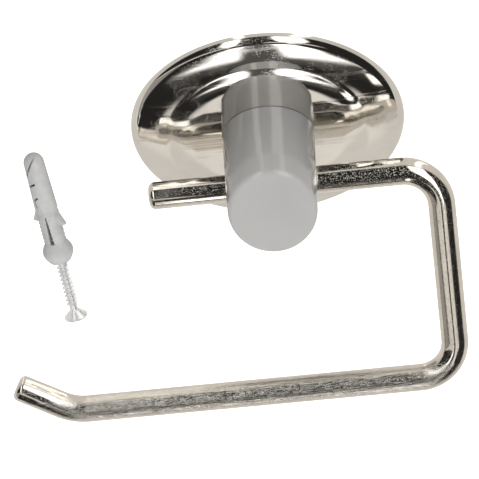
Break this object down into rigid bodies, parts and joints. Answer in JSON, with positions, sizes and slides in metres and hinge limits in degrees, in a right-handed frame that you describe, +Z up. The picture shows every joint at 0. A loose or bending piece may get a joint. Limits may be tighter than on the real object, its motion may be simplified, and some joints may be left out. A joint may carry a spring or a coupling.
{
  "type": "toilet paper holder",
  "caption": "Wall-mounted toilet paper holder: round polished rosette, grey plastic post with a slanted nose, swinging bent wire arm, and its wall screw and plug.",
  "frame": {"origin": "centre of the rosette's back in the wall plane, on the axis of the wall screw's hole", "axes": "+Y into the wall along the screw hole, -Y out of the wall, +Z up, +X to the right seen from the front"},
  "size_m": [0.1367, 0.0586, 0.1034],
  "materials": {
    "rosette_chrome": "polished chrome plate",
    "wire_chrome": "bright nickel-chrome plate",
    "post_plastic": "satin mid-grey plastic",
    "ring_plastic": "natural white moulding",
    "pad_rubber": "matt black rubber",
    "hub_zinc": "turned zinc",
    "insert_brass": "turned brass",
    "fixing_steel": "bright zinc-plated steel",
    "keeper_nylon": "natural nylon",
    "plug_nylon": "light grey nylon"
  },
  "bodies": {
    "holder": {"rosette": "rosette_chrome", "backing_ring": "ring_plastic", "grip_pad": "pad_rubber", "wall_hub": "hub_zinc", "post": "post_plastic", "grub_insert": "insert_brass", "grub_screw": "fixing_steel", "wire_keeper": "keeper_nylon", "wall_plug": "plug_nylon", "wall_screw": "fixing_steel"},
    "wire": {"wire_arm": "wire_chrome"}
  },
  "joints": [
    {"name": "wire_swing", "type": "hinge", "parent": "holder", "child": "wire", "pos_m": [0, -0.017, -0.0076], "axis": [1, 0, 0], "range_deg": [-155, 47]}
  ]
}
